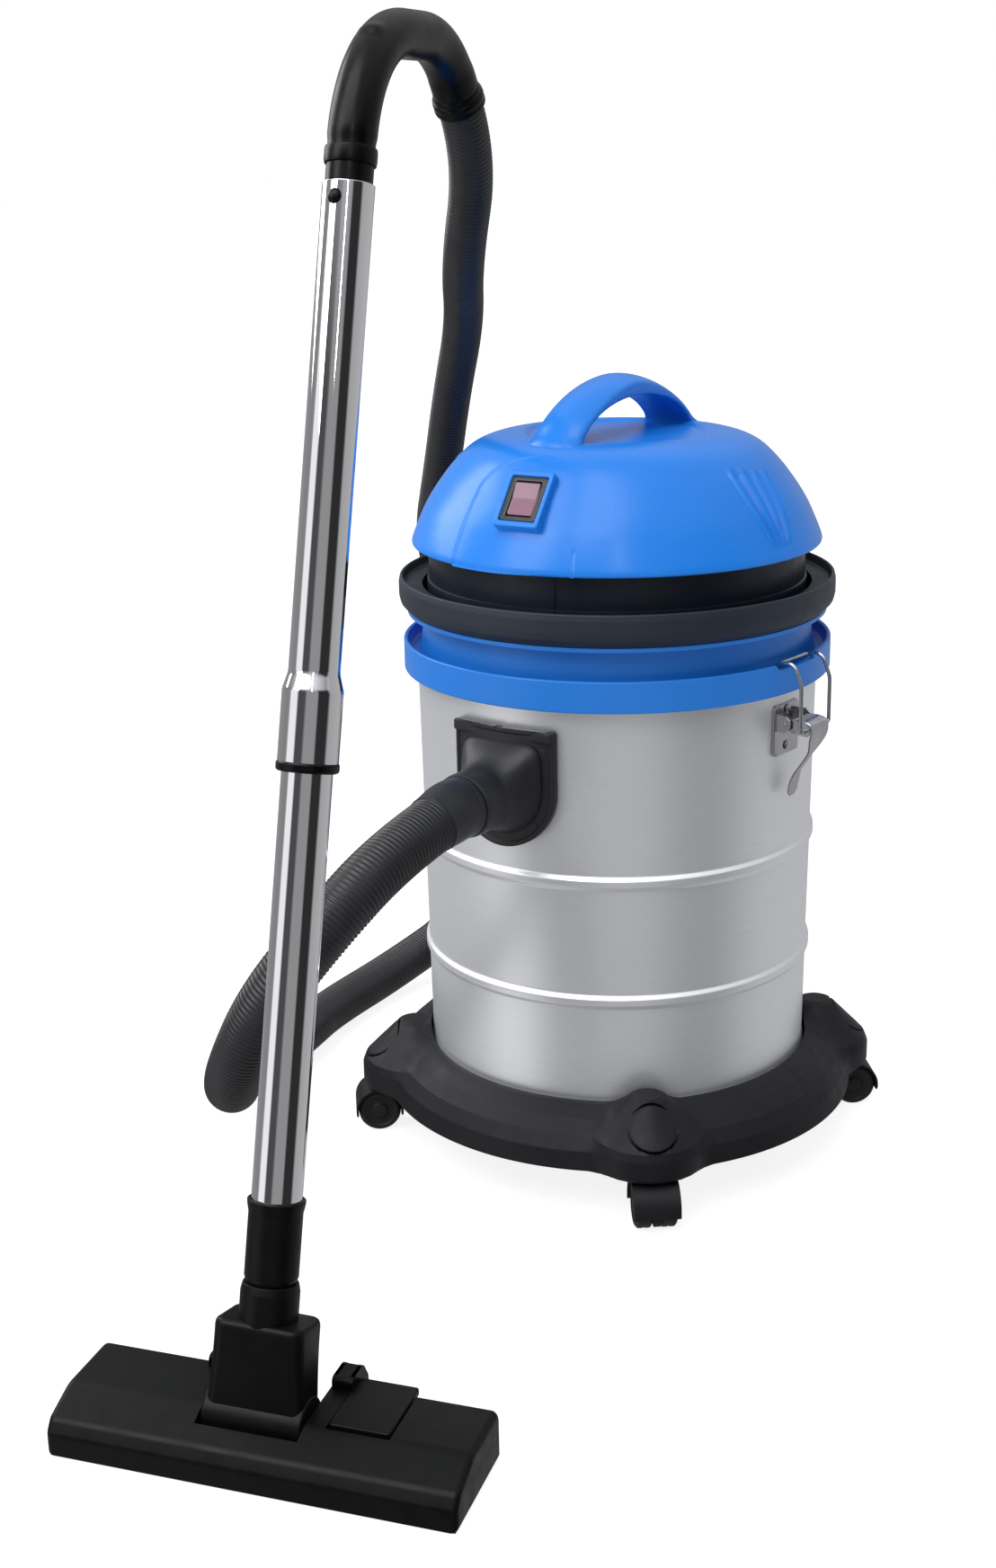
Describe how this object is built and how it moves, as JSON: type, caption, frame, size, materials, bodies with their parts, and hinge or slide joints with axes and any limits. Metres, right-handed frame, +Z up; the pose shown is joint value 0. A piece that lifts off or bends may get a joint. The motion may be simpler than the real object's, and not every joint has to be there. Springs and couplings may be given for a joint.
{
  "type": "wet and dry vacuum cleaner",
  "caption": "Wet and dry vacuum cleaner: steel drum on a caster dolly, lift-off motor head with latches, suction hose, tube wand and floor nozzle.",
  "frame": {"origin": "middle of the machine's footprint on the floor, wand and nozzle included and hose left out", "axes": "+Z up; the pictured front looks along -Y, with the nozzle at the front left and the drum at the back right"},
  "size_m": [0.6329, 1.0658, 0.9467],
  "materials": {
    "steel_drum": "satin polished",
    "black_plastic": "fine grain",
    "blue_plastic": "gloss",
    "neck_plastic": "satin",
    "bumper_plastic": "satin",
    "hose_plastic": "ribbed satin",
    "handle_plastic": "satin gloss",
    "chrome": "polished",
    "steel": "plain",
    "red_lens": "translucent gloss",
    "seal_rubber": "matt",
    "bristle": "bristle",
    "filter_cloth": "felt",
    "inner_plastic": "plain",
    "motor_metal": "plain"
  },
  "bodies": {
    "machine": {"drum": "steel_drum", "dolly": "black_plastic", "lobe_caps": "black_plastic", "dolly_screws": "steel", "inlet_flange": "black_plastic", "inlet_gasket": "seal_rubber", "inlet_screws": "steel", "inlet_cuff": "hose_plastic", "hose": "hose_plastic", "handle_cuff": "handle_plastic", "bent_handle": "handle_plastic", "upper_tube": "chrome", "socket_ring": "black_plastic", "lower_tube": "chrome", "nozzle_neck": "black_plastic", "latch_brackets": "steel", "latch_rivets": "steel", "latch_pins": "steel"},
    "air_slide": {"air_slide": "handle_plastic"},
    "spring_button": {"spring_button": "black_plastic"},
    "head": {"rim": "blue_plastic", "rim_gasket": "seal_rubber", "bumper": "bumper_plastic", "neck": "neck_plastic", "dome": "blue_plastic", "carry_handle": "blue_plastic", "switch_bezel": "blue_plastic", "switch_frame": "black_plastic", "cord_gland": "seal_rubber", "motor_plate": "inner_plastic", "motor": "motor_metal", "float_cage": "inner_plastic", "filter": "filter_cloth", "head_screws": "steel"},
    "rocker": {"rocker": "red_lens"},
    "rotor": {"rotor": "steel"},
    "float": {"float": "inner_plastic"},
    "elbow": {"nozzle_elbow": "black_plastic"},
    "nozzle": {"nozzle_body": "black_plastic", "sole_plate": "steel"},
    "pedal": {"nozzle_pedal": "black_plastic"},
    "brushes": {"brush_strips": "bristle"},
    "roller_left": {"nozzle_roller_left": "black_plastic"},
    "roller_right": {"nozzle_roller_right": "black_plastic"},
    "caster_1": {"caster_hood_1": "black_plastic"},
    "wheels_1": {"caster_axle_1": "steel", "caster_wheels_1": "black_plastic"},
    "caster_2": {"caster_hood_2": "black_plastic"},
    "wheels_2": {"caster_axle_2": "steel", "caster_wheels_2": "black_plastic"},
    "caster_3": {"caster_hood_3": "black_plastic"},
    "wheels_3": {"caster_axle_3": "steel", "caster_wheels_3": "black_plastic"},
    "caster_4": {"caster_hood_4": "black_plastic"},
    "wheels_4": {"caster_axle_4": "steel", "caster_wheels_4": "black_plastic"},
    "lever_right": {"latch_lever_right": "steel"},
    "bail_right": {"latch_bail_right": "chrome"},
    "lever_left": {"latch_lever_left": "steel"},
    "bail_left": {"latch_bail_left": "chrome"}
  },
  "joints": [
    {"name": "head_lift", "type": "slide", "parent": "machine", "child": "head", "axis": [0, 0, 1], "range_m": [0, 0.08]},
    {"name": "rotor_spin", "type": "hinge", "parent": "head", "child": "rotor", "pos_m": [0.0757, 0.1932, 0.54], "axis": [0, 0, 1], "continuous": true},
    {"name": "float_rise", "type": "slide", "parent": "head", "child": "float", "axis": [0, 0, 1], "range_m": [0, 0.048]},
    {"name": "switch_rock", "type": "hinge", "parent": "head", "child": "rocker", "pos_m": [0.0048, 0.06207, 0.58723], "axis": [-0.8796, 0.4756, 0], "range_deg": [0, 14]},
    {"name": "caster_swivel_1", "type": "hinge", "parent": "machine", "child": "caster_1", "pos_m": [0.10451, -0.01179, 0.055], "axis": [0, 0, 1], "continuous": true},
    {"name": "wheel_spin_1", "type": "hinge", "parent": "caster_1", "child": "wheels_1", "pos_m": [0.10618, -0.02367, 0.019], "axis": [0.9903, 0.1392, 0], "continuous": true},
    {"name": "caster_swivel_2", "type": "hinge", "parent": "machine", "child": "caster_2", "pos_m": [0.28069, 0.22201, 0.055], "axis": [0, 0, 1], "continuous": true},
    {"name": "wheel_spin_2", "type": "hinge", "parent": "caster_2", "child": "wheels_2", "pos_m": [0.29257, 0.22368, 0.019], "axis": [-0.1392, 0.9903, 0], "continuous": true},
    {"name": "caster_swivel_3", "type": "hinge", "parent": "machine", "child": "caster_3", "pos_m": [0.04689, 0.39819, 0.055], "axis": [0, 0, 1], "continuous": true},
    {"name": "wheel_spin_3", "type": "hinge", "parent": "caster_3", "child": "wheels_3", "pos_m": [0.04522, 0.41007, 0.019], "axis": [-0.9903, -0.1392, 0], "continuous": true},
    {"name": "caster_swivel_4", "type": "hinge", "parent": "machine", "child": "caster_4", "pos_m": [-0.12929, 0.16439, 0.055], "axis": [0, 0, 1], "continuous": true},
    {"name": "wheel_spin_4", "type": "hinge", "parent": "caster_4", "child": "wheels_4", "pos_m": [-0.14117, 0.16272, 0.019], "axis": [0.1392, -0.9903, 0], "continuous": true},
    {"name": "latch_lever_right", "type": "hinge", "parent": "machine", "child": "lever_right", "pos_m": [0.22213, 0.08681, 0.401], "axis": [-0.5878, -0.809, 0], "range_deg": [0, 75]},
    {"name": "latch_bail_right", "type": "hinge", "parent": "lever_right", "child": "bail_right", "pos_m": [0.23669, 0.07623, 0.398], "axis": [-0.5878, -0.809, 0], "range_deg": [-205, 0]},
    {"name": "latch_lever_left", "type": "hinge", "parent": "machine", "child": "lever_left", "pos_m": [-0.07073, 0.29959, 0.401], "axis": [0.5878, 0.809, 0], "range_deg": [0, 75]},
    {"name": "latch_bail_left", "type": "hinge", "parent": "lever_left", "child": "bail_left", "pos_m": [-0.08529, 0.31017, 0.398], "axis": [0.5878, 0.809, 0], "range_deg": [-205, 0]},
    {"name": "air_slide", "type": "slide", "parent": "machine", "child": "air_slide", "axis": [0.0821, 0.2311, 0.9695], "range_m": [-0.0115, 0]},
    {"name": "button_press", "type": "slide", "parent": "machine", "child": "spring_button", "axis": [0.2564, 0.9351, -0.2446], "range_m": [0, 0.002], "stiffness_N_per_m": 400, "springref_m": -0.001},
    {"name": "elbow_swivel", "type": "hinge", "parent": "machine", "child": "elbow", "pos_m": [-0.16041, -0.32796, 0.10774], "axis": [0.0821, 0.2311, 0.9695], "range_deg": [-45, 45]},
    {"name": "nozzle_tilt", "type": "hinge", "parent": "elbow", "child": "nozzle", "pos_m": [-0.16713, -0.34695, 0.028], "axis": [0.9643, -0.2647, 0], "range_deg": [-50, 12]},
    {"name": "pedal_rock", "type": "hinge", "parent": "nozzle", "child": "pedal", "pos_m": [-0.08928, -0.35048, 0.034], "axis": [0.9643, -0.2647, 0], "range_deg": [-7, 0]},
    {"name": "brush_drop", "type": "slide", "parent": "nozzle", "child": "brushes", "axis": [0, 0, -1], "range_m": [0, 0.0046]},
    {"name": "roller_left", "type": "hinge", "parent": "nozzle", "child": "roller_left", "pos_m": [-0.19894, -0.2872, 0.014], "axis": [0.9643, -0.2647, 0], "continuous": true},
    {"name": "roller_right", "type": "hinge", "parent": "nozzle", "child": "roller_right", "pos_m": [-0.10878, -0.31195, 0.014], "axis": [0.9643, -0.2647, 0], "continuous": true}
  ],
  "couplings": [
    {"joint": "latch_lever_right", "follows": "head_lift", "rad_per_m": 16.362},
    {"joint": "latch_bail_right", "follows": "head_lift", "rad_per_m": -44.724},
    {"joint": "latch_lever_left", "follows": "head_lift", "rad_per_m": 16.362},
    {"joint": "latch_bail_left", "follows": "head_lift", "rad_per_m": -44.724},
    {"joint": "brush_drop", "follows": "pedal_rock", "m_per_rad": -0.0368}
  ]
}
